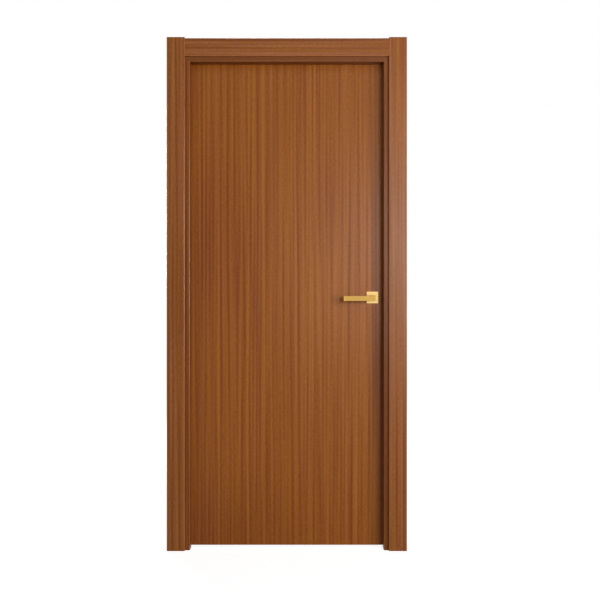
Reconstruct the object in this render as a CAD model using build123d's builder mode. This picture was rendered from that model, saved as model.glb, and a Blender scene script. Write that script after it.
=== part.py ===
from build123d import *

import os

# Interior laminate door: a rebated frame with casings on both faces of the wall, and a flush leaf on three
# butt hinges with a lever handle. Millimetres. X runs across the wall from the hinge side, Y through the
# wall towards the side that the leaf opens to, and Z up from the floor. The origin is on the outer face of
# the hinge jamb, where it meets the wall, at floor level and in the middle of the frame's depth.

# Leaf
leaf_width = 825
leaf_height = 2030
leaf_thickness = 35
face_board = 4
edge_band = 1.5
edge_band_arris = 0.8
stile_width = 38
top_rail_height = 60
bottom_rail_height = 90

# Running gaps round the leaf
side_gap = 5
top_gap = 5
floor_gap = 8
seal_gap = 3
leaf_setback = 2

# Frame
frame_depth = 90
rebated_thickness = 20
stop_width = 15
frame_arris = 3
rebate_arris = 1

# Casings
casing_width = 75
side_casing_thickness = 12
head_casing_thickness = 10
casing_arris = 4
front_margin = 20
back_margin = 10
casing_rise = 3

# Seal
seal_inset = 6.5
groove_width = 4
groove_depth = 6
seal_clearance = 0.2
seal_bead_width = 8
seal_lip_clearance = 0.3

# Hinges
hinge_height = 100
hinge_reach = 33
hinge_plate = 2.5
hinge_corner = 8
knuckle_count = 3
knuckle_radius = 5.5
knuckle_gap = 0.4
pin_radius = 3
pin_clearance = 0.05
pin_standoff = 6
hinge_end_distance = 200
hinge_slot_clearance = 0.5
hinge_screw_radius = 2.2
hinge_screw_count = 3
hinge_screw_pitch = 34
hinge_screw_inset = 12
hinge_screw_stagger = 4

# Lock
backset = 54
handle_height = 1049
forend_width = 18
forend_length = 196
forend_thickness = 3
lock_case_thickness = 14
lock_case_depth = 78
lock_case_below = 45
lock_case_above = 60
lock_clearance = 0.5
lock_screw_spacing = 178
lock_screw_radius = 2
follower_radius = 8
follower_clearance = 0.05
latch_above_handle = 17
latch_width = 10
latch_height = 30
latch_length = 45
latch_clearance = 0.2
latch_nose = 3
strike_width = 20
strike_length = 140
strike_thickness = 2
strike_screw_spacing = 112
strike_pocket_depth = 12
strike_hole_margin = 2

# Lever handle
rosette_size = 48.5
rosette_thickness = 9
rosette_bevel_width = 6
rosette_bevel_depth = 0.6
journal_radius = 9
journal_clearance = 0.05
journal_proud = 2
neck_width = 20
lever_projection = 58
lever_reach = 122.5
lever_drop = 4.2
lever_width = 20
lever_thickness = 10
lever_tip_bevel_width = 6
lever_tip_bevel_depth = 2
spindle_size = 8
spindle_clearance = 0.05
spindle_socket = 24
spindle_end_gap = 1
spindle_hole_radius = 10

# Planes worked out from the sizes above
frame_front = -frame_depth / 2
frame_back = frame_depth / 2
leaf_back = frame_back - leaf_setback
leaf_front = leaf_back - leaf_thickness
leaf_middle = (leaf_front + leaf_back) / 2
stop_face = leaf_front - seal_gap
jamb_thickness = rebated_thickness + stop_width
leaf_left = rebated_thickness + side_gap
leaf_right = leaf_left + leaf_width
leaf_bottom = floor_gap
leaf_top = leaf_bottom + leaf_height
frame_width = leaf_right + side_gap + rebated_thickness
frame_height = leaf_top + top_gap + rebated_thickness
core_front = leaf_front + face_board
core_thickness = leaf_thickness - 2 * face_board
handle_x = leaf_right - backset
latch_z = handle_height + latch_above_handle
spindle_bore = spindle_size + 2 * spindle_clearance
pin_x = rebated_thickness + side_gap / 2
pin_y = frame_back + pin_standoff
hinge_heights = {
    "bottom": leaf_bottom + hinge_end_distance,
    "middle": (leaf_bottom + leaf_top) / 2,
    "top": leaf_top - hinge_end_distance,
}

os.makedirs("parts", exist_ok=True)


def finish(piece, name):
    """Labels a finished piece and writes it to its own file."""
    piece.part.label = name
    export_step(piece.part, f"parts/{name}.step")


def handle_plane(face_y, outward):
    """A plane on a face of the leaf at the handle's axis, facing away from the leaf."""
    return Plane(origin=(handle_x, face_y, handle_height), x_dir=(1, 0, 0), z_dir=(0, outward, 0))


def edge_plane(x, z, into_wood):
    """A plane across the leaf's thickness at a height, facing into the wood that it lies on."""
    return Plane(origin=(x, leaf_middle, z), x_dir=(0, 1, 0), z_dir=(into_wood, 0, 0))


def upright_slot(length, width):
    """A round-ended slot that stands upright in an edge plane."""
    SlotOverall(length, width, rotation=90)


# Frame section: x from the wall into the doorway, y through the wall. The groove in the stop holds a seal.
with BuildSketch() as frame_section:
    with BuildLine():
        Polyline(
            (0, frame_front),
            (jamb_thickness, frame_front),
            (jamb_thickness, stop_face),
            (rebated_thickness, stop_face),
            (rebated_thickness, frame_back),
            (0, frame_back),
            close=True,
        )
    make_face()
    corners = frame_section.vertices()
    fillet(corners.filter_by(lambda v: v.X == jamb_thickness and v.Y == frame_front), frame_arris)
    fillet(
        frame_section.vertices().filter_by(
            lambda v: (v.X == jamb_thickness and v.Y == stop_face)
            or (v.X == rebated_thickness and v.Y == frame_back)
        ),
        rebate_arris,
    )
    with Locations((jamb_thickness - seal_inset, stop_face)):
        Rectangle(groove_width, 2 * groove_depth, mode=Mode.SUBTRACT)

# Seal section, in the same axes: a stem in the groove and a half-round lip that meets the leaf.
seal_x = jamb_thickness - seal_inset
with BuildSketch() as seal_section:
    with BuildLine():
        lip = ThreePointArc(
            (seal_x - seal_bead_width / 2, stop_face),
            (seal_x, leaf_front - seal_lip_clearance),
            (seal_x + seal_bead_width / 2, stop_face),
        )
        Line(lip @ 1, lip @ 0)
    make_face()
    with Locations((seal_x, stop_face)):
        Rectangle(
            groove_width - 2 * seal_clearance,
            groove_depth - seal_clearance,
            align=(Align.CENTER, Align.MAX),
        )

# The two uprights and the head of the frame are mitred on planes through the outer corners.
hinge_side_plane = Plane.XY
lock_side_plane = Plane(origin=(frame_width, 0, 0), x_dir=(-1, 0, 0), z_dir=(0, 0, -1))
head_plane = Plane(origin=(0, 0, frame_height), x_dir=(0, 0, -1), z_dir=(1, 0, 0))
hinge_side_mitre = Plane(origin=(0, 0, frame_height), z_dir=(1, 0, 1))
lock_side_mitre = Plane(origin=(frame_width, 0, frame_height), z_dir=(-1, 0, 1))


def hinge_plate_outline():
    """Outline of one hinge plate: x from the pin towards the stop, y along the hinge's height."""
    with BuildSketch() as outline:
        Rectangle(hinge_reach, hinge_height, align=(Align.MIN, Align.CENTER))
        fillet(outline.vertices().sort_by(Axis.X)[-2:], hinge_corner)
    return outline.sketch


hinge_outline = hinge_plate_outline()


def hinge_mortise(face_x, into_wood, height):
    """The recess that one hinge plate fills, from the face of the wood to the plate's depth."""
    with BuildPart() as recess:
        with BuildSketch(Plane(origin=(face_x, pin_y, height), x_dir=(0, -1, 0), z_dir=(into_wood, 0, 0))):
            add(hinge_outline)
        extrude(amount=hinge_plate)
    return recess.part


with BuildPart() as hinge_jamb:
    with BuildSketch(hinge_side_plane):
        add(frame_section.sketch)
    extrude(amount=frame_height)
    split(bisect_by=hinge_side_mitre, keep=Keep.BOTTOM)
    for height in hinge_heights.values():
        add(hinge_mortise(rebated_thickness, -1, height), mode=Mode.SUBTRACT)
finish(hinge_jamb, "hinge_jamb")

strike_plane = edge_plane(frame_width - rebated_thickness, latch_z, 1)
with BuildPart() as lock_jamb:
    with BuildSketch(lock_side_plane):
        add(frame_section.sketch)
    extrude(amount=-frame_height)
    split(bisect_by=lock_side_mitre, keep=Keep.BOTTOM)
    with BuildSketch(strike_plane):
        upright_slot(strike_length, strike_width)
    extrude(amount=strike_thickness, mode=Mode.SUBTRACT)
    with BuildSketch(strike_plane):
        Rectangle(latch_width + 2 * strike_hole_margin, latch_height + 2 * strike_hole_margin)
    extrude(amount=strike_pocket_depth, mode=Mode.SUBTRACT)
finish(lock_jamb, "lock_jamb")

with BuildPart() as head_jamb:
    with BuildSketch(head_plane):
        add(frame_section.sketch)
    extrude(amount=frame_width)
    split(bisect_by=hinge_side_mitre, keep=Keep.TOP)
    split(bisect_by=lock_side_mitre, keep=Keep.TOP)
finish(head_jamb, "head_jamb")

# Seals follow the frame on the same planes.
with BuildPart() as hinge_side_seal:
    with BuildSketch(hinge_side_plane):
        add(seal_section.sketch)
    extrude(amount=frame_height)
    split(bisect_by=hinge_side_mitre, keep=Keep.BOTTOM)
finish(hinge_side_seal, "hinge_side_seal")

with BuildPart() as lock_side_seal:
    with BuildSketch(lock_side_plane):
        add(seal_section.sketch)
    extrude(amount=-frame_height)
    split(bisect_by=lock_side_mitre, keep=Keep.BOTTOM)
finish(lock_side_seal, "lock_side_seal")

with BuildPart() as head_seal:
    with BuildSketch(head_plane):
        add(seal_section.sketch)
    extrude(amount=frame_width)
    split(bisect_by=hinge_side_mitre, keep=Keep.TOP)
    split(bisect_by=lock_side_mitre, keep=Keep.TOP)
finish(head_seal, "head_seal")


def side_casing(inner_x, outward_x, wall_face, outward_y, top):
    """An upright casing on a face of the frame. Its two long edges away from the wall are rounded."""
    with BuildPart() as casing:
        with BuildSketch(Plane.XY):
            middle_x = inner_x + outward_x * casing_width / 2
            with Locations((middle_x, wall_face + outward_y * side_casing_thickness / 2)):
                Rectangle(casing_width, side_casing_thickness)
        extrude(amount=top)
        long_edges = casing.edges().filter_by(Axis.Z).sort_by(Axis.Y)
        fillet(long_edges[:2] if outward_y < 0 else long_edges[-2:], casing_arris)
    return casing


def head_casing(left, right, bottom, wall_face, outward_y):
    """A head casing that fits between two upright casings."""
    with BuildPart() as casing:
        with BuildSketch(Plane.YZ.offset(left)):
            with Locations((wall_face + outward_y * head_casing_thickness / 2, bottom + casing_width / 2)):
                Rectangle(head_casing_thickness, casing_width)
        extrude(amount=right - left)
        long_edges = casing.edges().filter_by(Axis.X).sort_by(Axis.Y)
        fillet(long_edges[:2] if outward_y < 0 else long_edges[-2:], casing_arris)
    return casing


# Front casings leave the wide stop side of the frame showing; back casings clear the hinge knuckles.
for side, wall_face, outward_y, sight_line, margin in (
    ("front", frame_front, -1, jamb_thickness, front_margin),
    ("back", frame_back, 1, rebated_thickness, back_margin),
):
    inner_left = sight_line - margin
    inner_right = frame_width - inner_left
    head_bottom = frame_height - sight_line + margin
    top = head_bottom + casing_width + casing_rise
    finish(side_casing(inner_left, -1, wall_face, outward_y, top), f"{side}_casing_hinge_side")
    finish(side_casing(inner_right, 1, wall_face, outward_y, top), f"{side}_casing_lock_side")
    finish(head_casing(inner_left, inner_right, head_bottom, wall_face, outward_y), f"{side}_casing_head")

# Leaf: two face boards over a timber frame and core, with a band on each long edge.
board_left = leaf_left + edge_band
board_right = leaf_right - edge_band
stile_inner_left = board_left + stile_width
stile_inner_right = board_right - stile_width
forend_plane = edge_plane(leaf_right, latch_z, -1)
lock_case_height = lock_case_below + lock_case_above
lock_case_middle = handle_height + (lock_case_above - lock_case_below) / 2
lock_case_plane = edge_plane(leaf_right - forend_thickness, lock_case_middle, -1)

with BuildPart() as forend_recess:
    with BuildSketch(forend_plane):
        upright_slot(forend_length, forend_width)
    extrude(amount=forend_thickness)

with BuildPart() as lock_pocket:
    with BuildSketch(lock_case_plane):
        Rectangle(lock_case_thickness + 2 * lock_clearance, lock_case_height + 2 * lock_clearance)
    extrude(amount=lock_case_depth + lock_clearance)

with BuildPart() as spindle_hole:
    with BuildSketch(handle_plane(leaf_front, 1)):
        Circle(spindle_hole_radius)
    extrude(amount=leaf_thickness)

with BuildPart() as hinge_edge_band:
    with BuildSketch(Plane.XY.offset(leaf_bottom)):
        with Locations((leaf_left, leaf_front)):
            Rectangle(edge_band, leaf_thickness, align=(Align.MIN, Align.MIN))
    extrude(amount=leaf_height)
    chamfer(hinge_edge_band.edges().filter_by(Axis.Z).sort_by(Axis.X)[:2], edge_band_arris)
    for height in hinge_heights.values():
        add(hinge_mortise(leaf_left, 1, height), mode=Mode.SUBTRACT)
finish(hinge_edge_band, "leaf_hinge_edge_band")

with BuildPart() as lock_edge_band:
    with BuildSketch(Plane.XY.offset(leaf_bottom)):
        with Locations((leaf_right, leaf_front)):
            Rectangle(edge_band, leaf_thickness, align=(Align.MAX, Align.MIN))
    extrude(amount=leaf_height)
    chamfer(lock_edge_band.edges().filter_by(Axis.Z).sort_by(Axis.X)[-2:], edge_band_arris)
    add(forend_recess.part, mode=Mode.SUBTRACT)
finish(lock_edge_band, "leaf_lock_edge_band")

with BuildPart() as front_board:
    with BuildSketch(Plane.XY.offset(leaf_bottom)):
        with Locations((board_left, leaf_front)):
            Rectangle(board_right - board_left, face_board, align=(Align.MIN, Align.MIN))
    extrude(amount=leaf_height)
    add(spindle_hole.part, mode=Mode.SUBTRACT)
finish(front_board, "leaf_front_board")

with BuildPart() as back_board:
    with BuildSketch(Plane.XY.offset(leaf_bottom)):
        with Locations((board_left, leaf_back)):
            Rectangle(board_right - board_left, face_board, align=(Align.MIN, Align.MAX))
    extrude(amount=leaf_height)
    add(spindle_hole.part, mode=Mode.SUBTRACT)
    for height in hinge_heights.values():
        add(hinge_mortise(leaf_left, 1, height), mode=Mode.SUBTRACT)
finish(back_board, "leaf_back_board")

with BuildPart() as hinge_stile:
    with BuildSketch(Plane.XY.offset(leaf_bottom)):
        with Locations((board_left, core_front)):
            Rectangle(stile_width, core_thickness, align=(Align.MIN, Align.MIN))
    extrude(amount=leaf_height)
    for height in hinge_heights.values():
        add(hinge_mortise(leaf_left, 1, height), mode=Mode.SUBTRACT)
finish(hinge_stile, "leaf_hinge_stile")

with BuildPart() as lock_stile:
    with BuildSketch(Plane.XY.offset(leaf_bottom)):
        with Locations((board_right, core_front)):
            Rectangle(stile_width, core_thickness, align=(Align.MAX, Align.MIN))
    extrude(amount=leaf_height)
    add(forend_recess.part, mode=Mode.SUBTRACT)
    add(lock_pocket.part, mode=Mode.SUBTRACT)
finish(lock_stile, "leaf_lock_stile")

with BuildPart() as bottom_rail:
    with BuildSketch(Plane.XY.offset(leaf_bottom)):
        with Locations((stile_inner_left, core_front)):
            Rectangle(stile_inner_right - stile_inner_left, core_thickness, align=(Align.MIN, Align.MIN))
    extrude(amount=bottom_rail_height)
finish(bottom_rail, "leaf_bottom_rail")

with BuildPart() as top_rail:
    with BuildSketch(Plane.XY.offset(leaf_top)):
        with Locations((stile_inner_left, core_front)):
            Rectangle(stile_inner_right - stile_inner_left, core_thickness, align=(Align.MIN, Align.MIN))
    extrude(amount=-top_rail_height)
finish(top_rail, "leaf_top_rail")

with BuildPart() as core:
    with BuildSketch(Plane.XY.offset(leaf_bottom + bottom_rail_height)):
        with Locations((stile_inner_left, core_front)):
            Rectangle(stile_inner_right - stile_inner_left, core_thickness, align=(Align.MIN, Align.MIN))
    extrude(amount=leaf_height - bottom_rail_height - top_rail_height)
    add(lock_pocket.part, mode=Mode.SUBTRACT)
    add(spindle_hole.part, mode=Mode.SUBTRACT)
finish(core, "leaf_core")

def screw_planes(face_x, outward, spacing):
    """Planes on a metal face at its two screws, above and below the latch, facing out of the metal."""
    return [edge_plane(face_x, latch_z + end * spacing / 2, outward) for end in (-1, 1)]


# Lock: a case behind a round-ended forend, with the latch drawn in flush with the forend.
with BuildPart() as lock:
    with BuildSketch(forend_plane):
        upright_slot(forend_length, forend_width)
    extrude(amount=forend_thickness)
    with BuildSketch(lock_case_plane):
        Rectangle(lock_case_thickness, lock_case_height)
    extrude(amount=lock_case_depth)
    with BuildSketch(forend_plane):
        Rectangle(latch_width + 2 * latch_clearance, latch_height + 2 * latch_clearance)
    extrude(amount=latch_length + latch_clearance, mode=Mode.SUBTRACT)
    with BuildSketch(handle_plane(leaf_front, 1)):
        Circle(follower_radius + follower_clearance)
    extrude(amount=leaf_thickness, mode=Mode.SUBTRACT)
    with Locations(*screw_planes(leaf_right, 1, lock_screw_spacing)):
        Hole(lock_screw_radius, depth=forend_thickness)
finish(lock, "lock_case")

# Follower: a round nut in the lock case that the spindle turns.
with BuildPart() as follower:
    with BuildSketch(handle_plane(leaf_middle - lock_case_thickness / 2, 1)):
        Circle(follower_radius)
        Rectangle(spindle_bore, spindle_bore, mode=Mode.SUBTRACT)
    extrude(amount=lock_case_thickness)
finish(follower, "lock_follower")

with BuildPart() as latch:
    with BuildSketch(forend_plane):
        Rectangle(latch_width, latch_height)
    extrude(amount=latch_length)
    fillet(latch.edges().filter_by(Axis.Z).sort_by(Axis.X)[-2:], latch_nose)
finish(latch, "latch_bolt")

with BuildPart() as strike:
    with BuildSketch(strike_plane):
        upright_slot(strike_length, strike_width)
        Rectangle(
            latch_width + 2 * strike_hole_margin,
            latch_height + 2 * strike_hole_margin,
            mode=Mode.SUBTRACT,
        )
    extrude(amount=strike_thickness)
    with Locations(*screw_planes(frame_width - rebated_thickness, -1, strike_screw_spacing)):
        Hole(lock_screw_radius, depth=strike_thickness)
finish(strike, "strike_plate")


def knuckle_heights(odd):
    """Bottom of each knuckle of one half of a hinge, from the hinge's middle."""
    pitch = hinge_height / knuckle_count
    return [-hinge_height / 2 + pitch * i for i in range(knuckle_count) if i % 2 == (0 if odd else 1)]


def hinge_half(face_x, into_wood, height, odd):
    """One half of a butt hinge: a plate let into the wood and its share of the knuckles."""
    pitch = hinge_height / knuckle_count
    with BuildPart() as half:
        with BuildSketch(Plane(origin=(face_x, pin_y, height), x_dir=(0, -1, 0), z_dir=(into_wood, 0, 0))):
            add(hinge_outline)
        extrude(amount=hinge_plate)
        for start in knuckle_heights(not odd):
            with BuildSketch(Plane(origin=(pin_x, pin_y, height + start))):
                Circle(knuckle_radius + hinge_slot_clearance)
            extrude(amount=pitch, mode=Mode.SUBTRACT)
        for start in knuckle_heights(odd):
            with BuildSketch(Plane(origin=(pin_x, pin_y, height + start + knuckle_gap / 2))):
                Circle(knuckle_radius)
            extrude(amount=pitch - knuckle_gap)
        with BuildSketch(Plane(origin=(pin_x, pin_y, height - hinge_height / 2))):
            Circle(pin_radius + pin_clearance)
        extrude(amount=hinge_height, mode=Mode.SUBTRACT)
        holes = []
        for i in range(hinge_screw_count):
            y = pin_y - hinge_reach + hinge_screw_inset + hinge_screw_stagger * (-1) ** i
            z = height + (i - (hinge_screw_count - 1) / 2) * hinge_screw_pitch
            holes.append(Plane(origin=(face_x, y, z), z_dir=(-into_wood, 0, 0)))
        with Locations(*holes):
            Hole(hinge_screw_radius, depth=hinge_plate)
    return half


for place, height in hinge_heights.items():
    finish(hinge_half(rebated_thickness, -1, height, odd=True), f"{place}_hinge_jamb_half")
    finish(hinge_half(leaf_left, 1, height, odd=False), f"{place}_hinge_leaf_half")
    with BuildPart() as pin:
        with BuildSketch(Plane(origin=(pin_x, pin_y, height - hinge_height / 2))):
            Circle(pin_radius)
        extrude(amount=hinge_height)
    finish(pin, f"{place}_hinge_pin")


def rosette(face_y, outward):
    """A square rosette on one face of the leaf, bored for the lever's journal."""
    with BuildPart() as plate:
        with BuildSketch(handle_plane(face_y, outward)):
            Rectangle(rosette_size, rosette_size)
        extrude(amount=rosette_thickness)
        face = plate.faces().sort_by(Axis.Y)[0 if outward < 0 else -1]
        chamfer(face.edges(), rosette_bevel_width, rosette_bevel_depth, reference=face)
        with BuildSketch(handle_plane(face_y, outward)):
            Circle(journal_radius + journal_clearance)
        extrude(amount=rosette_thickness, mode=Mode.SUBTRACT)
    return plate


def lever(face_y, outward):
    """A lever: a round journal in the rosette, a square neck and a bar that sits low on it."""
    base = handle_plane(face_y, outward)
    bar = Plane(
        origin=(handle_x + neck_width / 2, base.origin.Y, handle_height - lever_drop),
        x_dir=base.x_dir,
        z_dir=base.z_dir,
    )
    with BuildPart() as handle:
        with BuildSketch(base):
            Circle(journal_radius)
        extrude(amount=rosette_thickness + journal_proud)
        with BuildSketch(base.offset(rosette_thickness + journal_proud)):
            Rectangle(neck_width, neck_width)
        extrude(amount=lever_projection - lever_thickness - rosette_thickness - journal_proud)
        with BuildSketch(bar.offset(lever_projection - lever_thickness)):
            Rectangle(lever_reach + neck_width / 2, lever_width, align=(Align.MAX, Align.CENTER))
        extrude(amount=lever_thickness)
        face = handle.faces().sort_by(Axis.Y)[0 if outward < 0 else -1]
        tip = face.edges().filter_by(Axis.Z).sort_by(Axis.X)[0]
        chamfer(tip, lever_tip_bevel_width, lever_tip_bevel_depth, reference=face)
        with BuildSketch(base):
            Rectangle(spindle_bore, spindle_bore)
        extrude(amount=spindle_socket, mode=Mode.SUBTRACT)
    return handle


for side, face_y, outward in (("front", leaf_front, -1), ("back", leaf_back, 1)):
    finish(rosette(face_y, outward), f"{side}_rosette")
    finish(lever(face_y, outward), f"{side}_lever")

spindle_reach = spindle_socket - spindle_end_gap
with BuildPart() as spindle:
    with BuildSketch(handle_plane(leaf_front - spindle_reach, 1)):
        Rectangle(spindle_size, spindle_size)
    extrude(amount=leaf_thickness + 2 * spindle_reach)
finish(spindle, "spindle")
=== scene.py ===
import math

import bpy
import numpy as np
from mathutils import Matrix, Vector


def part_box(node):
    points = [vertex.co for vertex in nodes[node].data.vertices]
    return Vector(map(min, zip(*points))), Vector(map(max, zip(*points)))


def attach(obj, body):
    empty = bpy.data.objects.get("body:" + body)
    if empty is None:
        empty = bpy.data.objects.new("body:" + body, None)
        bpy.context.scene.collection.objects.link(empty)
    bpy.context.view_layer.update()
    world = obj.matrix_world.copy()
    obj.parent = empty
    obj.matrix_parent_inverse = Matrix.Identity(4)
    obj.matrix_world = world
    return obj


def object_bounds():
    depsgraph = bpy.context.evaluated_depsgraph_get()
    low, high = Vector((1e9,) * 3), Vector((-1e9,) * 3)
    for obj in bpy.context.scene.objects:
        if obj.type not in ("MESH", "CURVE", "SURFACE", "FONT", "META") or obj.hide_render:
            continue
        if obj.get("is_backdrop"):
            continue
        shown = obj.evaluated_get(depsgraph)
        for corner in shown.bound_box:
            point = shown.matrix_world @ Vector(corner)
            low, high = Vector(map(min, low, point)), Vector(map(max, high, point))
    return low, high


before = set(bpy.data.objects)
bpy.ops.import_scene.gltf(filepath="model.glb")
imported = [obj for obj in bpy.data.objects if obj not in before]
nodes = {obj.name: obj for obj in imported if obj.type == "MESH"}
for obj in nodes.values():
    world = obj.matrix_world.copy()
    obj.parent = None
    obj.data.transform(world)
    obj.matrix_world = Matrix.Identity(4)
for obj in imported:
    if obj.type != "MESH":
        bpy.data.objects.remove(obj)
cad_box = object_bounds()

# %% [markdown]
# # A laminate door, dressed for its picture
# The carpentry is already there: the frame's jambs, the casings, the leaf and its
# hardware come in as fixed solids, each in its own place. What is left is what the
# eye meets first. A door like this is board wrapped in a printed film, hung on
# gold-coloured hinges, and turned by a square gold handle. This lesson gives those
# surfaces their finishes, adds the small screws, and lights the set as a shop would.

# %% The solids that came in
print("door set from", [round(v, 3) for v in cad_box[0]], "to", [round(v, 3) for v in cad_box[1]])

# %% [markdown]
# ## The camera
# A door is photographed square on, from a little under half its height, so that its
# sides stay upright and parallel. The lens could be tilted to take in the top, but
# then the uprights would lean together. A level camera at handle height keeps them
# straight without any shift.

# %% A level camera in front of the door
EYE = (0.492, -3.682, 1.0385)
LENS_MM = 52.6
SENSOR_MM = 36.0
SIGHT = 60.0
camera_data = bpy.data.cameras.new("studio_camera")
camera_data.lens = LENS_MM
camera_data.sensor_width = SENSOR_MM
camera_data.clip_end = SIGHT
camera = bpy.data.objects.new("studio_camera", camera_data)
camera.location = EYE
camera.rotation_euler = (math.radians(90), 0.0, 0.0)
bpy.context.scene.collection.objects.link(camera)
bpy.context.scene.camera = camera
bpy.context.scene.view_settings.view_transform = "Standard"
half_angle = math.degrees(math.atan(SENSOR_MM / 2 / LENS_MM))
print("camera sees", round(2 * half_angle, 1), "degrees across")

# %% [markdown]
# ## Writing materials as sums
# A procedural material is a small calculation: stripes plus flecks, times a tint.
# Drawn as boxes and wires it grows long, and hard to read as a formula. So here one
# class stands for the output of a node and lets ordinary + - * / add the Math nodes.

# %% A value that adds up
class Value:
    """The output socket of a node. Sums and products of it add Math nodes."""

    def __init__(self, recipe, socket):
        self.recipe, self.socket = recipe, socket

    def math(self, operation, *inputs):
        inputs = dict(enumerate(inputs))
        return self.recipe.node("ShaderNodeMath", {"operation": operation}, inputs)

    def __add__(self, other):
        return self.math("ADD", self, other)

    def __sub__(self, other):
        return self.math("SUBTRACT", self, other)

    def __rsub__(self, other):
        return self.math("SUBTRACT", other, self)

    def __mul__(self, other):
        return self.math("MULTIPLY", self, other)

    def __truediv__(self, other):
        return self.math("DIVIDE", self, other)

    __radd__ = __add__
    __rmul__ = __mul__

    def size(self):
        return self.math("ABSOLUTE", self)

    def sine(self):
        return self.math("SINE", self)

    def root(self):
        return self.math("SQRT", self)

    def clip(self):
        return self.recipe.node("ShaderNodeClamp", {}, {0: self})

    def step(self, low, high):
        """0 below low, 1 above high, and a smooth slope between them."""
        return self.recipe.node("ShaderNodeMapRange", {"interpolation_type": "SMOOTHSTEP"},
                                {0: self, 1: low, 2: high})


print("a value can:", ", ".join(name for name in vars(Value) if not name.startswith("_")))

# %% [markdown]
# ## The recipe that values belong to
# Other nodes, such as noise, have settings as well as sockets. They could each get a
# function, but one method serves them all: first a node's settings, then what goes
# into its sockets. A recipe can be written for any node tree, a room's as well as a
# finish's.

# %% A recipe for a node tree
class Recipe:
    """A node tree to write in. Each node that it adds comes back as a Value."""

    def __init__(self, tree):
        self.tree = tree

    def node(self, kind, settings, inputs, out=0):
        """Adds a node: its settings first, then the values or links of its sockets."""
        made = self.tree.nodes.new(kind)
        for key, value in settings.items():
            setattr(made, key, value)
        for key, value in inputs.items():
            if isinstance(value, Value):
                self.tree.links.new(value.socket, made.inputs[key])
            else:
                made.inputs[key].default_value = value
        return Value(self, made.outputs[out])

    def join(self, value, shader, socket):
        """Links a value to a named socket of the shader at the tree's end."""
        self.tree.links.new(value.socket, shader.inputs[socket])

    def parts(self, vector):
        """The x, y and z of a vector, as three values."""
        split = self.node("ShaderNodeSeparateXYZ", {}, {0: vector}).socket.node
        return [Value(self, socket) for socket in split.outputs]

    def cloud(self, x, y, z, detail=0.0):
        """Smooth noise around 0, at a point given by three values or numbers."""
        spot = self.node("ShaderNodeCombineXYZ", {}, {0: x, 1: y, 2: z})
        inputs = {"Vector": spot, "Scale": 1.0, "Detail": detail}
        return self.node("ShaderNodeTexNoise", {}, inputs) - 0.5

    def blend(self, share, first, second):
        """first where share is 0, second where it is 1. Both are colours."""
        inputs = {0: share, 6: first, 7: second}
        return self.node("ShaderNodeMix", {"data_type": "RGBA"}, inputs, 2)


print("a recipe can:", ", ".join(name for name in vars(Recipe) if not name.startswith("_")))

# %% [markdown]
# ## A finish on a solid
# What a finish shows may change over a surface in its colour, its roughness, its
# relief and its clear coat. All the rest, such as how metallic it is, is one number
# for the whole of it and is set on the shader itself. The pattern could be laid on by
# unwrapping each board, but the boards stand square, so the place in space will do.

# %% A finish, and dressing a solid in it
class Finish(Recipe):
    """A material with a Principled shader at its end. The constants name its sockets."""

    def __init__(self, name, **constants):
        self.material = bpy.data.materials.new(name)
        self.material.use_nodes = True
        super().__init__(self.material.node_tree)
        self.shader = self.tree.nodes["Principled BSDF"]
        for socket, value in constants.items():
            self.shader.inputs[socket.replace("_", " ")].default_value = value
        self.place = self.node("ShaderNodeTexCoord", {}, {}, "Object")
        self.facing = self.node("ShaderNodeTexCoord", {}, {}, "Normal")

    def wear(self, colour, height, depth, roughness=None, coat=None):
        """Joins the colour, the relief, depth metres deep, and where they are given
        the roughness and the clear coat to the shader."""
        inputs = {"Height": height, "Distance": depth, "Strength": 1.0}
        self.join(colour, self.shader, "Base Color")
        self.join(self.node("ShaderNodeBump", {}, inputs), self.shader, "Normal")
        if roughness is not None:
            self.join(roughness, self.shader, "Roughness")
        if coat is not None:
            self.join(coat, self.shader, "Coat Weight")
        return self.material


def dress(material, *names):
    """Gives each named solid this one material."""
    for name in names:
        nodes[name].data.materials.clear()
        nodes[name].data.materials.append(material)
    print(material.name, "on", ", ".join(names))


def tinted(tone, *factors):
    """A tone times one or more sets of three factors, as a colour with full alpha."""
    return tuple(np.prod([tone, *factors], axis=0)) + (1.0,)


def scaled(spot, per_metre):
    """A place in metres, made longer or shorter along each axis for a noise."""
    return [value * scale for value, scale in zip(spot, per_metre)]


X, Y, Z = 0, 1, 2
print("white at half strength:", tinted((1.0, 1.0, 1.0), (0.5, 0.5, 0.5)))

# %% [markdown]
# ## The printed wood film
# The film on the leaf, jambs and casings is a print of straight-grained tropical
# wood: upright ribbons 16 to 36 mm apart, with finer lines between them. A plain wave
# texture would repeat like a ruled page, and plain noise has no rhythm. So a ribbon
# is a tone that swells and fades: two sines of the distance across the grain, a
# quarter turn apart, each with a strength of its own that changes slowly, to either
# side of nothing. Where one takes over from the other the stripe slides over a
# little, so none runs unchanged from floor to head. Ever finer noises add lines down
# to hairlines, and a mottle of short dashes lies over them all.

# %% Ribbons and lines of wood grain
RIBBONS = ((0.0160, 0.80), (0.0248, 0.55), (0.0355, 0.85))  # pitch, share
RIBBON_LENGTH = 0.85
SWELL_PITCHES = 4.0
WANDER_PITCHES, WANDER_TURN = 7.0, 5.0
LINES = ((0.0300, 0.50, 0.80), (0.0135, 0.42, 0.60), (0.0035, 0.24, 0.40),
         (0.0014, 0.40, 0.20), (0.0006, 0.40, 0.09))  # width, share, length
MOTTLE = (0.0040, 0.50, 0.0160)
WANDER_SEED, RIBBON_SEED, TURN_SEED, FIRST_SWELL = 3.0, 8.9, 3.3, 0.5
LINE_SEED, FIRST_LINE, MOTTLE_SEED = 7.0, 9.0, 40.0


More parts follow.
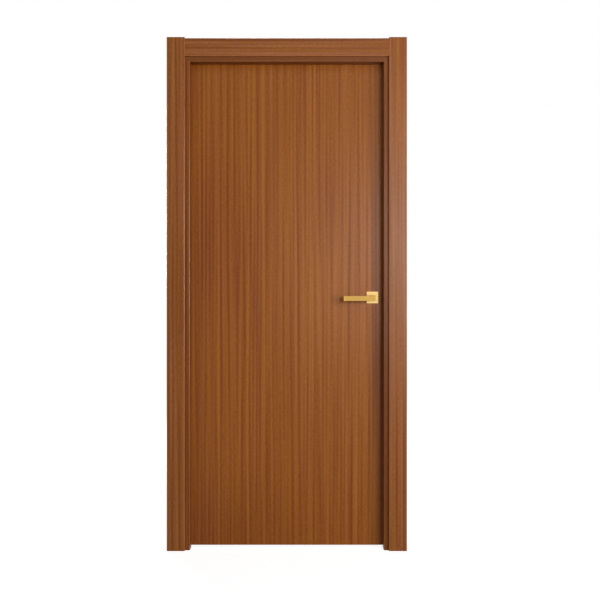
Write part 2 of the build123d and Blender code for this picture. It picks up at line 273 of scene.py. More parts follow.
def grain(recipe, across, along, seed):
    """How light the print is, around 0.5. Each ribbon adds two sines of 2 pi times the
    distance across over its pitch, plus a shift that wanders from stripe to stripe.
    The second is a quarter turn ahead, and each is multiplied by its own long noise.
    Each line, and the mottle, adds noise squeezed across and stretched along."""
    light = 0.5
    for number, (pitch, share) in enumerate(RIBBONS):
        wander = recipe.cloud(across / (WANDER_PITCHES * pitch), seed, WANDER_SEED * number)
        for turn in (0.0, math.pi / 2):
            own_seed = seed + RIBBON_SEED * number + TURN_SEED * turn + FIRST_SWELL
            swell = recipe.cloud(across / (SWELL_PITCHES * pitch), along / RIBBON_LENGTH, own_seed)
            angle = across * (2 * math.pi / pitch) + wander * WANDER_TURN + turn
            light = angle.sine() * swell * share + light
    for number, (width, share, length) in enumerate(LINES):
        own_seed = seed + FIRST_LINE + LINE_SEED * number
        light = recipe.cloud(across / width, along / length, own_seed) * share + light
    width, share, length = MOTTLE
    return recipe.cloud(across / width, along / length, seed + MOTTLE_SEED) * share + light


print("ribbons every", [round(pitch * 1000, 1) for pitch, share in RIBBONS], "mm")

# %% [markdown]
# ## Pores, streaks and painted shading
# Between the stripes lie short dark pores and a few light streaks as narrow as a finger. Over them
# lie patches of painted shade and painted light, as broad as an arm is long, where the print is
# made darker or lighter to stand in for the shade and the gleam that fall on the door. Noise could
# place all three. But the eye knows a door by its boldest streaks, so these and the patches are
# put where they are wanted, and only the pores are left to chance.

# %% Pores, streaks and patches of painted shade and light
PORE_WIDTH, PORE_LENGTH = 0.0006, 0.014
PORE_EDGE = (0.09, 0.19)
STREAK_LENGTH, STREAK_CHANGE, STREAK_MEAN = 0.5, 1.2, 0.75


def flecks(recipe, across, along, seed):
    """1 in short dark pores, 0 between them: narrow noise, cut off high."""
    return recipe.cloud(across / PORE_WIDTH, along / PORE_LENGTH, seed).step(*PORE_EDGE)


def hill(place, top, half_width):
    """1 at the top, falling smoothly to 0 at a half width to either side of it."""
    return 1.0 - ((place - top).size() / half_width).step(0.0, 1.0)


def streak(recipe, across, along, centre, half_width, seed):
    """A hill across the grain that fades in and out along its length."""
    fading = recipe.cloud(along / STREAK_LENGTH, seed, 0.0) * STREAK_CHANGE + STREAK_MEAN
    return hill(across, centre, half_width) * fading


def painted_shading_patch(across, along, centre, height, half_width, half_height):
    """One broad soft patch of painted shade or painted light: a hill across times a hill along."""
    return hill(across, centre, half_width) * hill(along, height, half_height)


print("pores are", PORE_WIDTH * 1000, "mm wide and", PORE_LENGTH * 1000, "mm long")

# %% [markdown]
# ## The colours of the print
# The print isn't one brown made lighter and darker. Its dark stripes lose their blue, its light
# ones gain it, and narrow stripes lean to gold or to rose in turn. With one ramp from dark to
# light the door looks like stained pine. So there are two ramps, a golden and a rosy one, and
# noise picks between them from stripe to stripe. Tones are in linear light. The jambs' tones are
# painted shade: darker than the casings' for the shade the jambs stand in deeper in the wall, the
# lock jamb's and the head jamb's most.

# %% Golden and rosy stripes
LEAF_TONE = (0.284, 0.0758, 0.0021)
FRAME_TONE = (0.272, 0.0775, 0.0054)
# Painted shade: the jamb tones are the frame's film darkened for the shade the jambs stand in, the
# lock and head jambs most.
HINGE_JAMB_SHADED_TONE = (0.226, 0.0625, 0.0034)
LOCK_JAMB_SHADED_TONE = (0.190, 0.0515, 0.0030)
HEAD_JAMB_SHADED_TONE = (0.180, 0.0460, 0.0020)
DARK_SIDE = (0.71, 0.55, 0.00)
LIGHT_SIDE = (1.33, 1.61, 4.40)
GOLDEN = (1.03, 1.06, 0.42)
ROSY = (0.97, 0.94, 1.62)
HUE_STRIPES = (0.0066, 0.8, 2.8)  # width, length, share
HUE_DASHES = (0.0055, 0.018, 1.5)
STRIPES_SEED, DASHES_SEED, PORE_SEED = 60.5, 70.5, 3.0
ROSY_IN_THE_LIGHT, ROSY_IN_THE_DARK = 0.9, 0.05
PORE_SHADE = (0.45, 0.38, 0.40)
PORE_SHARE = 0.38


def ramp(film, tone, light, hue):
    """A tone from its dark side to its light side, leaning to one hue."""
    return film.blend(light, tinted(tone, DARK_SIDE, hue), tinted(tone, LIGHT_SIDE, hue))


def hue_noise(film, across, along, seed, kind):
    """Noise of one width and length, times its share."""
    width, length, share = kind
    return film.cloud(across / width, along / length, seed) * share


def print_colour(film, tone, light, pores, across, along, seed):
    """Two ramps over light, mixed by stripes and dashes of noise, with dark pores."""
    golden, rosy = ramp(film, tone, light, GOLDEN), ramp(film, tone, light, ROSY)
    rosiness = (hue_noise(film, across, along, seed + STRIPES_SEED, HUE_STRIPES)
                + hue_noise(film, across, along, seed + DASHES_SEED, HUE_DASHES)
                + light * ROSY_IN_THE_LIGHT + ROSY_IN_THE_DARK)
    colour = film.blend(rosiness.clip(), golden, rosy)
    return film.blend(pores * PORE_SHARE, colour, tinted(tone, PORE_SHADE))


print("golden light stripe:", [round(v, 3) for v in tinted(LEAF_TONE, LIGHT_SIDE, GOLDEN)[:3]])

# %% [markdown]
# ## Where the film stops
# At a sawn end the film stops and the pale pressed board shows, and so it does on the
# side against the wall. Those faces could be picked by hand and given a second
# material. The way a face looks tells them apart just as well: along the grain it is
# an end, towards the wall it is a back.

# %% Bare board
BOARD_TONE = (0.42, 0.29, 0.17)
DARK_CHIP, PALE_CHIP = (0.82, 0.8, 0.78), (1.1, 1.1, 1.1)
CHIPS_PER_METRE = (900.0, 900.0, 900.0)
CHIP_CONTRAST = 1.6
SQUARE_ON = (0.80, 0.95)


def board_colour(film, spot):
    """Pale pressed board: chips are fine noise between two tones."""
    chips = film.cloud(*scaled(spot, CHIPS_PER_METRE), detail=2.0)
    return film.blend((chips * CHIP_CONTRAST + 0.5).clip(), tinted(BOARD_TONE, DARK_CHIP),
                      tinted(BOARD_TONE, PALE_CHIP))


def bare_faces(facing, upright, wall_side):
    """1 on faces square to the grain, and on those that face the wall side."""
    bare = facing[Z if upright else X].size().step(*SQUARE_ON)
    if wall_side is not None:
        axis, sign = wall_side
        bare = (bare + (facing[axis] * sign).step(*SQUARE_ON)).clip()
    return bare


print("a face counts as square on from a cosine of", SQUARE_ON)

# %% [markdown]
# ## The film as a material
# The film goes round the corners of a jamb in one sheet, so the stripes have to cross an edge
# without a jump. Adding the depth to the width does that: a stripe runs on from the front face
# into the reveal. On a rounded edge, the arris, the film gets a smoother clear coat, and its
# colour is made paler and bluer as a painted highlight, so that the edge shows as one bright line.
# The edges could be modelled apart. But the square of how far a face looks through the wall, c, is
# 1 on a front, 0 on a side and between them only on the rounding, so c (1 - c) finds it. The
# lacquer is satin. Its sheen is one number for a board, a little lower on the upright jambs, whose
# reveals are seen at a slant and would mirror the white room too strongly.

# %% A board wrapped in film
WRAP = 0.83
ARRIS_GAIN, ARRIS_HIGHLIGHT_SHARE, ARRIS_COAT = 7.0, 0.6, 0.7
ARRIS_PAINTED_HIGHLIGHT = (1.60, 1.65, 2.10)
COAT_ROUGHNESS = 0.14
LACQUER_ROUGHNESS, ROUGHNESS_CHANGE, BARE_ROUGHNESS = 0.355, 0.08, 0.38
GRAIN_RELIEF, PORE_RELIEF, SKIN_RELIEF = 0.25, 0.5, 0.35
PATCHES_PER_METRE, SKIN_PER_METRE = (14.0, 14.0, 9.0), (260.0, 260.0, 120.0)
FILM_DEPTH = 0.00006
SHEEN, JAMB_SHEEN = 0.27, 0.19


def wood_film(name, tone, upright=True, seed=0.0, wall_side=None, streaks=(), painted_shading=(),
              sheen=SHEEN):
    """A film-wrapped board: stripes upright or level, bare board at its ends, and on
    the side that faces wall_side, an axis and a sign, where one is given."""
    film = Finish(name, Specular_IOR_Level=sheen, Coat_Roughness=COAT_ROUGHNESS)
    x, y, z = film.parts(film.place)
    across, along = (x + y * WRAP, z) if upright else (z + y * WRAP, x)
    light = grain(film, across, along, seed)
    for number, (centre, half_width, gain) in enumerate(streaks):
        light = light + streak(film, across, along, centre, half_width, seed + number) * gain
    # Patches of painted shade, with a gain below 0, and of painted light, above 0, make the print
    # darker or lighter.
    for *patch, gain in painted_shading:
        light = light + painted_shading_patch(across, along, *patch) * gain
    light = light.clip()
    pores = flecks(film, across, along, seed + PORE_SEED)
    colour = print_colour(film, tone, light, pores, across, along, seed)

    facing = film.parts(film.facing)
    frontal = facing[Y] * facing[Y]
    arris = (frontal * (1.0 - frontal) * ARRIS_GAIN).clip()
    # Painted highlight: on the arris the colour is blended towards a paler, bluer tone.
    colour = film.blend(arris * ARRIS_HIGHLIGHT_SHARE, colour, tinted(tone, ARRIS_PAINTED_HIGHLIGHT))
    bare = bare_faces(facing, upright, wall_side)
    colour = film.blend(bare, colour, board_colour(film, (x, y, z)))

    patchy = film.cloud(*scaled((x, y, z), PATCHES_PER_METRE), detail=3.0)
    roughness = patchy * ROUGHNESS_CHANGE + LACQUER_ROUGHNESS + bare * BARE_ROUGHNESS
    skin = film.cloud(*scaled((x, y, z), SKIN_PER_METRE))
    relief = light * GRAIN_RELIEF - pores * PORE_RELIEF + skin * SKIN_RELIEF
    return film.wear(colour, relief, FILM_DEPTH, roughness, arris * ARRIS_COAT)


print("lacquer roughness:", LACQUER_ROUGHNESS, "sheen:", SHEEN, "and on the jambs", JAMB_SHEEN)

# %% [markdown]
# ## Film on the leaf
# The leaf's two faces are pressed from sheets of film, and its edges are banded with strips of it.
# One material would run the same stripes through all of them, so each gets its own from the same
# recipe, with its own seed. The front shows the bold streaks and four soft patches: painted shade
# at the left, at the foot and in a strip by the lock jamb, where the reveal shades the leaf, and
# painted light right of the middle, where the gleam falls.

# %% Film on the leaf
LEAF_STREAKS = ((0.1575, 0.0085, 0.55), (0.3490, 0.0095, 0.35), (0.5420, 0.0080, 0.45),
                (0.0985, 0.0070, 0.25), (0.2840, 0.0070, 0.25))  # centre, half width, gain
# Painted shade and painted light: patches that darken or lighten the leaf's print where shade and
# gleam fall.
LEAF_PAINTED_SHADING = ((0.05, 1.27, 0.42, 0.50, -0.28), (0.63, 1.06, 0.27, 0.45, 0.24),
               (0.15, 0.02, 0.55, 0.42, -0.26),
               (0.855, 0.75, 0.075, 0.65, -0.50))  # centre, height, half sizes, gain
dress(wood_film("leaf_front_film", LEAF_TONE, seed=1.0, wall_side=(Y, 1.0),
                streaks=LEAF_STREAKS, painted_shading=LEAF_PAINTED_SHADING), "leaf_front_board")
dress(wood_film("leaf_back_film", LEAF_TONE, seed=11.0, wall_side=(Y, -1.0)),
      "leaf_back_board")
dress(wood_film("leaf_edging", LEAF_TONE, seed=21.0),
      "leaf_hinge_edge_band", "leaf_lock_edge_band")

# %% [markdown]
# ## Film on the jambs and casings
# On the real set every jamb and casing is wrapped from another roll, so no two pieces share their
# stripes. The stripes run along each piece: upright on the sides, level on the heads. One broad
# patch on some pieces is painted shade or painted light: painted shade on the hinge jamb, the
# lower lock jamb and the hinge-side casing at mid-height, and painted light high on the lock-side
# casing. They could share one film turned about, but where two pieces meet at a corner the eye
# would find the repeat.

# %% Film on the jambs and casings
# Painted shade on the hinge jamb, the lower lock jamb and the hinge-side casing, and painted light
# high on the lock-side casing.
HINGE_JAMB_PAINTED_SHADE = ((0.0, 1.12, 0.30, 0.60, -0.42),)
LOCK_JAMB_PAINTED_SHADE = ((0.84, 0.45, 0.40, 0.85, -0.46),)
CASING_PAINTED_SHADING = {"front_casing_hinge_side": ((-0.06, 1.08, 0.30, 0.50, -0.26),),
                 "front_casing_lock_side": ((0.86, 1.80, 0.30, 0.45, 0.30),)}
dress(wood_film("hinge_jamb_film", HINGE_JAMB_SHADED_TONE, seed=31.0, wall_side=(X, -1.0),
                painted_shading=HINGE_JAMB_PAINTED_SHADE, sheen=JAMB_SHEEN), "hinge_jamb")
dress(wood_film("lock_jamb_film", LOCK_JAMB_SHADED_TONE, seed=41.0, wall_side=(X, 1.0),
                painted_shading=LOCK_JAMB_PAINTED_SHADE, sheen=JAMB_SHEEN), "lock_jamb")
dress(wood_film("head_jamb_film", HEAD_JAMB_SHADED_TONE, upright=False, seed=51.0,
                wall_side=(Z, 1.0)), "head_jamb")
CASING_SEED, SIDE_SEED, PIECE_SEED = 61.0, 30.0, 10.0
for number, (side, sign) in enumerate((("front", 1.0), ("back", -1.0))):
    for place, part in enumerate(("hinge_side", "lock_side", "head")):
        name = f"{side}_casing_{part}"
        seed = CASING_SEED + SIDE_SEED * number + PIECE_SEED * place
        film = wood_film(f"{name}_film", FRAME_TONE, upright=part != "head", seed=seed,
                         wall_side=(Y, sign), painted_shading=CASING_PAINTED_SHADING.get(name, ()))
        dress(film, name)
print("film materials:", len([m for m in bpy.data.materials if "film" in m.name]))

# %% [markdown]
# ## What the edges let you see
# Lie on the floor and look up, and the bottom of the leaf shows its make-up: softwood
# between two thin boards. Pine has pale early wood and narrow amber late wood. Its
# rings could be circles round a pith, but a sawn stile is cut far from it, so warped
# stripes do as well and turn with the piece.

# %% Sawn pine
PALE_PINE = (0.66, 0.47, 0.26, 1.0)
AMBER_PINE = (0.46, 0.27, 0.115, 1.0)
RING_TURNS, RING_SLANT, RING_WARP = 900.0, 0.6, 26.0
LATE_WOOD, LATE_SHARE, LATE_RISE = (0.45, 1.0), 0.75, 0.3
WARP_PER_METRE, FIBRES_PER_METRE = (9.0, 9.0, 1.3), (1500.0, 1500.0, 40.0)
FIBRE_SHARE = 0.5
PINE_DEPTH = 0.00008


def sawn_pine(name, upright, seed):
    """Softwood: rings are a warped sine of the distance across, thin amber on pale."""
    pine = Finish(name, Roughness=0.72, Specular_IOR_Level=0.25)
    x, y, z = pine.parts(pine.place)
    across, along = (x, z) if upright else (z, x)
    *sideways, lengthways = scaled((across, y, along), WARP_PER_METRE)
    warp = pine.cloud(*sideways, lengthways + seed, detail=1.0)
    rings = ((across + y * RING_SLANT) * RING_TURNS + warp * RING_WARP).sine()
    late = (rings * 0.5 + 0.5).step(*LATE_WOOD)
    fibre = pine.cloud(*scaled((across, y, along), FIBRES_PER_METRE))
    amber = (late * LATE_SHARE + fibre * FIBRE_SHARE).clip()
    colour = pine.blend(amber, PALE_PINE, AMBER_PINE)
    return pine.wear(colour, late * LATE_RISE + fibre, PINE_DEPTH)


dress(sawn_pine("sawn_pine_upright", upright=True, seed=0.0),
      "leaf_hinge_stile", "leaf_lock_stile")
dress(sawn_pine("sawn_pine_level", upright=False, seed=5.0),
      "leaf_top_rail", "leaf_bottom_rail")

# %% [markdown]
# ## The pressed core
# The core fills the space between the stiles and rails, and shows only when a board is
# taken off. It is chipboard, a jumble of flat chips glued under pressure. Smooth noise
# would give it clouds. Cells of noise give it chips, each in one tone, and stretching
# the cells along the leaf's width makes the chips longer than they are thick.

# %% Pressed board
CORE_TONE = (0.50, 0.36, 0.21)
PALE_CORE, DARK_CORE = (1.15, 1.15, 1.15), (0.62, 0.58, 0.54)
CELLS_PER_METRE, CRUMBS_PER_METRE = (260.0, 480.0, 480.0), (700.0, 700.0, 700.0)
CELL_SHARE, CRUMB_SHARE = 0.9, 0.6
CORE_DEPTH = 0.0003


def pressed_board(name, tone):
    """Chipboard: chips are cells of noise, stretched a little, each its own tone."""
    board = Finish(name, Roughness=0.85, Specular_IOR_Level=0.2)
    spot = board.parts(board.place)
    cells = dict(enumerate(scaled(spot, CELLS_PER_METRE)))
    cells = board.node("ShaderNodeCombineXYZ", {}, cells)
    chip = board.node("ShaderNodeTexVoronoi", {}, {"Vector": cells, "Scale": 1.0})
    crumbs = board.cloud(*scaled(spot, CRUMBS_PER_METRE))
    colour = board.blend((chip * CELL_SHARE + crumbs * CRUMB_SHARE).clip(),
                         tinted(tone, PALE_CORE), tinted(tone, DARK_CORE))
    return board.wear(colour, chip, CORE_DEPTH)


dress(pressed_board("pressed_core", CORE_TONE), "leaf_core")

# %% [markdown]
# ## The seal
# A brown rubber strip sits in a groove of the frame and takes the leaf's knock. It
# could be one flat colour, but rubber is dull and gathers dust, so a fine noise
# makes it uneven in colour and in roughness.

# %% Brown rubber
DARK_RUBBER, DUSTY_RUBBER = (0.035, 0.017, 0.008, 1.0), (0.065, 0.035, 0.018, 1.0)
RUBBER_ROUGHNESS, DUST_ROUGHNESS = 0.62, 0.25
DUST_PER_METRE, DUST_CONTRAST, DUST_SHARE = (160.0, 160.0, 160.0), 1.5, 0.4
RUBBER_DEPTH = 0.00005
rubber = Finish("brown_rubber", Specular_IOR_Level=0.35)
dust = rubber.cloud(*scaled(rubber.parts(rubber.place), DUST_PER_METRE), detail=3.0)
dusty = (dust * DUST_CONTRAST + DUST_SHARE).clip()
rubber_colour = rubber.blend(dusty, DARK_RUBBER, DUSTY_RUBBER)
rubber_roughness = dust * DUST_ROUGHNESS + RUBBER_ROUGHNESS
dress(rubber.wear(rubber_colour, dust, RUBBER_DEPTH, rubber_roughness),
      "hinge_side_seal", "lock_side_seal", "head_seal")

# %% [markdown]
# ## Satin gold
# The handle and hinges are brass-plated and brushed along their length, then
# lacquered. Brushing is a bundle of fine scratches in one direction. The shader has
# an anisotropy of its own for that, but a stretched noise in the relief and in the
# roughness also shows single scratches close up. Hands polish the handle a little
# here and there, which a low, broad noise stands for.

# %% Brushed metals
GOLD = (0.79, 0.515, 0.175)
# The lever's and the rosette's golds are lit and shaded copies of one plated gold: the lever's is
# painted darker as shade, the rosette's painted lighter as a highlight.
LEVER_GOLD_PAINTED_DARKER = (0.600, 0.357, 0.091)
ROSETTE_GOLD_PAINTED_LIGHTER = (0.935, 0.645, 0.248)
STEEL = (0.55, 0.55, 0.54)
DULL_METAL, BRIGHT_METAL = (0.92, 0.90, 0.85), (1.07, 1.08, 1.12)
SCRATCHES_ALONG, SCRATCHES_ACROSS = 90.0, 5200.0
CLOUDS_PER_METRE = (55.0, 55.0, 55.0)
CLOUD_TINT, SCRATCH_TINT = 0.7, 0.5
CLOUD_ROUGHNESS, SCRATCH_ROUGHNESS = 0.10, 0.12
SCRATCH_DEPTH = 0.00001


def brushed(name, tone, along, roughness=0.30):
    """Metal brushed along one axis: noise stretched nearly 60 times along that axis
    is added to the roughness and the relief, and tints the metal a little."""
    metal = Finish(name, Metallic=1.0)
    spot = metal.parts(metal.place)
    fine = [SCRATCHES_ALONG if axis == along else SCRATCHES_ACROSS for axis in (X, Y, Z)]
    scratch = metal.cloud(*scaled(spot, fine), detail=1.0)
    cloudy = metal.cloud(*scaled(spot, CLOUDS_PER_METRE), detail=2.0)
    bright = (cloudy * CLOUD_TINT + scratch * SCRATCH_TINT + 0.5).clip()
    colour = metal.blend(bright, tinted(tone, DULL_METAL), tinted(tone, BRIGHT_METAL))
    uneven = cloudy * CLOUD_ROUGHNESS + scratch * SCRATCH_ROUGHNESS + roughness
    return metal.wear(colour, scratch, SCRATCH_DEPTH, uneven)


HINGES = ("bottom", "middle", "top")
HINGE_PIECES = [f"{hinge}_hinge_{half}" for hinge in HINGES
                for half in ("jamb_half", "leaf_half", "pin")]
PLATES = HINGE_PIECES + ["lock_case", "latch_bolt", "strike_plate"]
LEVERS = ["front_lever", "back_lever"]
ROSETTES = ["front_rosette", "back_rosette"]
INNER_METAL = ["spindle", "lock_follower"]
dress(brushed("gold_lever", LEVER_GOLD_PAINTED_DARKER, X, roughness=0.34), *LEVERS)
dress(brushed("gold_rosette", ROSETTE_GOLD_PAINTED_LIGHTER, Z, roughness=0.28), *ROSETTES)
dress(brushed("gold_plate", GOLD, Z), *PLATES)
dress(brushed("plated_steel", STEEL, Y, roughness=0.38), *INNER_METAL)

# %% [markdown]
# ## Screws
# Each hinge plate is held by three screws in each wood, and the forend and the strike
# plate by two. A screw's head is a disc with a low dome and a cross cut into it. It
# could be cut with a boolean, but the cross is easier as part of the height: over the
# disc, the depth is a function of how far a point is from the nearer arm's middle.

# %% A screw head as a height over a disc
CROWN = 0.0006
RINGS, AROUND = 9, 32
ARM_EDGE, ARM_SLOPE = 0.20, 0.10
REACH_EDGE, REACH_SLOPE = 0.72, 0.14
PIT = 1.15


def screw_head(radius):
    """Vertices and faces of a domed disc with a cross sunk in it, facing +Z. With R
    the radius, the height at (r, a) is crown (1 - (r/R)^2), less 1.15 crown times arm
    times reach. Arm is 1 where the smaller of |x| and |y| is under 0.10 R and 0 from
    0.20 R. Reach is 1 where r is under 0.58 R and 0 from 0.72 R. The rim goes
    straight down, and a flat back closes it."""
    share = np.linspace(0.0, 1.0, RINGS + 1)[1:]
    angle = np.linspace(0.0, 2 * np.pi, AROUND, endpoint=False)
    r, a = np.meshgrid(share, angle, indexing="ij")
    px, py = r * np.cos(a), r * np.sin(a)
    arm = np.clip((ARM_EDGE - np.minimum(abs(px), abs(py))) / ARM_SLOPE, 0, 1)
    reach = np.clip((REACH_EDGE - r) / REACH_SLOPE, 0, 1)
    pz = CROWN * (1.0 - r ** 2) - CROWN * PIT * arm * reach
    rings = np.stack([px, py, pz / radius], -1).reshape(-1, 3)
    middle = [[0, 0, (1.0 - PIT) * CROWN / radius]]
    rim = np.stack([np.cos(angle), np.sin(angle), np.full(AROUND, -CROWN / radius)], 1)
    points = np.concatenate([middle, rings, rim, [[0, 0, -CROWN / radius]]])

    here = np.arange(AROUND)
    ahead = np.roll(here, -1)
    low = 1 + AROUND * np.arange(RINGS)[:, None]
    high = low + AROUND
    last = 1 + RINGS * AROUND
    top = np.stack([np.zeros(AROUND, int), 1 + here, 1 + ahead], -1)
    walls = np.stack([low + here, high + here, high + ahead, low + ahead], -1).reshape(-1, 4)
    back = np.stack([np.full(AROUND, last + AROUND), last + ahead, last + here], -1)
    return points * radius, top.tolist() + walls.tolist() + back.tolist()


print("a screw head has", len(screw_head(1.0)[0]), "points and", len(screw_head(1.0)[1]), "faces")

# %% [markdown]
# ## One screw in its place
# A screw could be made once and copied with an offset and a turn, as copies share one
# mesh. Here each one gets its own mesh with its place worked into it, so that every
# object stays at the origin, unturned, as the solids are. It rides on the body whose
# wood it bites into.

# %% Placing a screw
def place_screw(name, spot, outward, radius, body, material, turn):
    """One screw head, its back on spot, facing outward and turned by turn."""
    points, faces = screw_head(radius)
    outward = Vector(outward)
    turned = np.array(outward.to_track_quat("Z", "Y").to_matrix())
    spin = np.array([[math.cos(turn), -math.sin(turn), 0],
                     [math.sin(turn), math.cos(turn), 0], [0, 0, 1]])
    points = points @ spin.T @ turned.T + np.array(spot) + np.array(outward) * CROWN
    mesh = bpy.data.meshes.new(name)
    mesh.from_pydata(points.tolist(), [], faces)
    mesh.shade_smooth()
    mesh.materials.append(material)
    screw = bpy.data.objects.new(name, mesh)
    bpy.context.scene.collection.objects.link(screw)
    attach(screw, body)
    return screw


screw_gold = brushed("gold_screw", GOLD, X, roughness=0.26)
print("screws are made of", screw_gold.name)

# %% [markdown]
# ## The screws of the hinges
# Three screws hold each half, the middle one set back from the line of the others so
# that they don't split the wood along its grain. Each sits in the hole that its plate
# has for it, its rim just under the plate's face. Their crosses stand at any angle, as
# a hand leaves them, which is the one thing left to chance.

# %% Screws in the hinges
HINGE_SCREW_SPOTS = ((-0.034, 0.034), (0.0, 0.026), (0.034, 0.034))  # rise, depth
HINGE_SCREW_RADIUS, HINGE_SCREW_SINK = 0.0021, 0.0019
SCREWS_AT_MOST = 40
turns = iter(np.random.default_rng(4).uniform(0.0, math.pi / 2, SCREWS_AT_MOST))
SCREWS = []
for hinge in HINGES:
    low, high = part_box(f"{hinge}_hinge_pin")
    middle = (low[2] + high[2]) / 2
    for half, body, outward in (("jamb_half", "frame", 1.0), ("leaf_half", "leaf", -1.0)):
        low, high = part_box(f"{hinge}_hinge_{half}")
        back = (low[0] if half == "jamb_half" else high[0]) + outward * HINGE_SCREW_SINK
        for number, (rise, depth) in enumerate(HINGE_SCREW_SPOTS, 1):
            spot = (back, depth, middle + rise)
            SCREWS.append(place_screw(f"{hinge}_{half}_screw_{number}", spot, (outward, 0.0, 0.0),
                                      HINGE_SCREW_RADIUS, body, screw_gold, next(turns)))
print("screws in the hinges:", len(SCREWS))

# %% [markdown]
# ## The screws of the forend and the strike plate
# The lock's forend is screwed into the leaf's edge above and below the lock, the
# strike plate into the jamb above and below its opening. Their places could be read
# from the holes, but two numbers for each plate say the same: how high its middle is,
# and how far from it the screws stand.

# %% Screws in forend and strike plate
PLATE_SCREW_RADIUS, PLATE_SCREW_SINK = 0.0019, 0.0014
PLATE_DEPTH, PLATE_MIDDLE = 0.0255, 1.066
for plate, body, face, outward, reach in (("forend", "leaf", 0.850, 1.0, 0.089),
                                          ("strike", "frame", 0.855, -1.0, 0.056)):
    for number, sign in enumerate((-1.0, 1.0), 1):
        spot = (face - outward * PLATE_SCREW_SINK, PLATE_DEPTH, PLATE_MIDDLE + sign * reach)
        SCREWS.append(place_screw(f"{plate}_screw_{number}", spot, (outward, 0.0, 0.0),
                                  PLATE_SCREW_RADIUS, body, screw_gold, next(turns)))
print("screws:", len(SCREWS))

# %% [markdown]
# ## The white room
# A catalogue door stands before pure white. More light would bleach the wood along
# with the wall. So the room is white only to rays that come from the camera, from a
# mirror or through glass, and gives almost no light of its own.

# %% A room that is white to look at
ROOM_FILL = 0.01


def looked_at(recipe, mirrored=1.0):
    """1 for rays from the camera or through glass, and the share given for rays from
    a mirror; 0 for the light that falls on the door."""
    ray = [recipe.node("ShaderNodeLightPath", {}, {}, f"Is {kind} Ray")
           for kind in ("Camera", "Glossy", "Transmission")]
    return (ray[0] + ray[1] * mirrored + ray[2]).clip()


room = bpy.data.worlds.new("white_room")
room.use_nodes = True
bpy.context.scene.world = room
air = Recipe(room.node_tree)
background = room.node_tree.nodes["Background"]
background.inputs["Color"].default_value = (1.0, 1.0, 1.0, 1.0)
air.join(looked_at(air) * (1.0 - ROOM_FILL) + ROOM_FILL, background, "Strength")
print("the room's own light:", ROOM_FILL)

# %% [markdown]
# ## White paper on the floor
# The floor is a sheet of paper that glows white for the same rays, and is grey to the
# lamps, so that the door's soft shadow still falls on it. Near the door the glow is a
# shade under white, which lets the shadow show; far off it is pure white and meets
# the room without a line. The lacquer mirrors the paper a little darker than it
# looks, since real paper near a door's foot is mostly in the door's own shade.

# %% White paper
PAPER_GREY = (0.32, 0.32, 0.32, 1.0)
NEAR_GLOW, FAR_GLOW = (0.88, 0.88, 0.88, 1.0), (1.0, 1.0, 1.0, 1.0)
GLOW_MIDDLE = 0.44
GLOW_REACH = (1.2, 3.6)
MIRRORED_PAPER = 0.85
PAPER_CORNERS = [(-9, -7, 0), (10, -7, 0), (10, 14, 0), (-9, 14, 0)]
BLACK = (0.0, 0.0, 0.0, 1.0)
paper = Finish("white_paper", Base_Color=PAPER_GREY, Roughness=0.9, Specular_IOR_Level=0.0,
               Emission_Strength=1.0)
side, depth = paper.parts(paper.place)[:2]
away = ((side - GLOW_MIDDLE) * (side - GLOW_MIDDLE) + depth * depth).root()
whiteness = paper.blend(away.step(*GLOW_REACH), NEAR_GLOW, FAR_GLOW)
shown = paper.blend(looked_at(paper, MIRRORED_PAPER), BLACK, whiteness)
paper.join(shown, paper.shader, "Emission Color")
floor_mesh = bpy.data.meshes.new("paper_floor")
floor_mesh.from_pydata(PAPER_CORNERS, [], [(0, 1, 2, 3)])
floor_mesh.materials.append(paper.material)
floor = bpy.data.objects.new("paper_floor", floor_mesh)
bpy.context.scene.collection.objects.link(floor)
floor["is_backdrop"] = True
print("paper:", len(floor_mesh.polygons), "sheet")

# %% [markdown]
# ## Softboxes
# Six softboxes light the set. The tall one, at the right and at chest height, draws
# the soft gleam down the leaf. The side one and the left one model the casings, and
# the left is farther off so that the right stays brighter. The high one lifts the
# upper half. Behind the line of the wall, the rear one and the top one light the back
# and the top edges, for views from there. A sun would do for brightness, but large
# soft sources near a satin film show as sheen and not as glare.

# %% Six softboxes
DOOR_MIDDLE = (0.45, 0.0, 1.10)
DOOR_HEAD = (0.45, 0.0, 2.00)


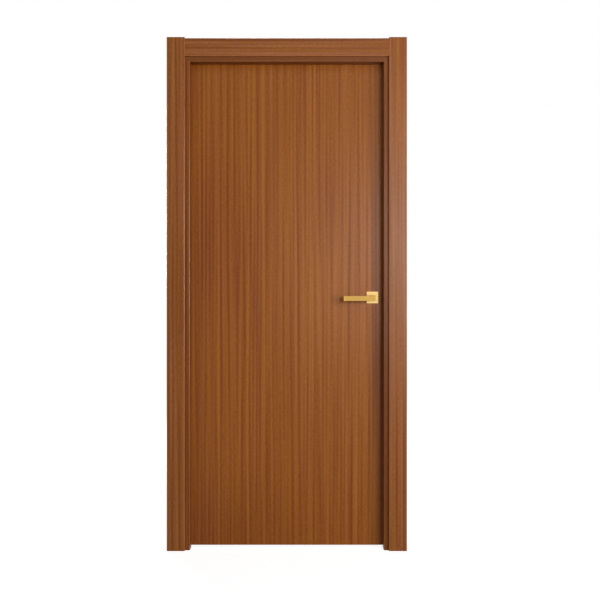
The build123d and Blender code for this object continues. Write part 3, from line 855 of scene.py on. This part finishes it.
def softbox(name, place, size, watts, aim=DOOR_MIDDLE):
    """A rectangular lamp at place, so wide and so high, turned to look at aim."""
    lamp = bpy.data.lights.new(name, "AREA")
    lamp.shape = "RECTANGLE"
    lamp.size, lamp.size_y = size
    lamp.energy = watts
    stand = bpy.data.objects.new(name, lamp)
    stand.location = place
    stand.rotation_euler = (Vector(aim) - Vector(place)).to_track_quat("-Z", "Y").to_euler()
    bpy.context.scene.collection.objects.link(stand)
    return stand


tall = softbox("tall_softbox", (1.75, -3.60, 1.46), size=(0.8, 0.9), watts=46.0)
softbox("high_softbox", (0.90, -2.90, 3.70), size=(1.2, 0.9), watts=10.5)
softbox("side_softbox", (3.10, -2.70, 1.50), size=(1.3, 2.0), watts=69.0)
softbox("left_softbox", (-4.50, -4.00, 1.50), size=(1.8, 1.8), watts=47.0)
softbox("rear_softbox", (-1.40, 3.40, 1.90), size=(1.2, 1.4), watts=105.0)
softbox("top_softbox", (0.45, 1.30, 4.60), size=(1.2, 1.2), watts=45.0, aim=DOOR_HEAD)
print("lamps:", round(sum(lamp.energy for lamp in bpy.data.lights), 1), "watts in all")

# %% [markdown]
# ## A card before the tall softbox
# The gleam that suits the wood burns out the small gold rosette. Turning the lamp
# down would lose the gleam. A photographer hangs a black card, called a flag, so that
# its shadow falls on the metal alone. Blender's light linking does the same: the
# pieces in one collection are left out of what this lamp lights.

# %% The metal kept out of one lamp's light
METAL_PIECES = PLATES + LEVERS + ROSETTES + INNER_METAL
flagged = bpy.data.collections.new("flagged_from_tall_softbox")
for piece in [nodes[name] for name in METAL_PIECES] + SCREWS:
    flagged.objects.link(piece)
tall.light_linking.receiver_collection = flagged
for kept_off in flagged.collection_objects:
    kept_off.light_linking.link_state = "EXCLUDE"

# %% [markdown]
# ## Did the set keep its size?
# Finishes and screws must not make the door larger than the solids that came in. One
# could measure the picture, but the two boxes say it in metres.

# %% Size, kept for a comparison with the solids
seen_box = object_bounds()
growth = [round((b - a) * 1000, 2) for a, b in zip(cad_box[1], seen_box[1])]
print("grown by", growth, "mm at the high corner")
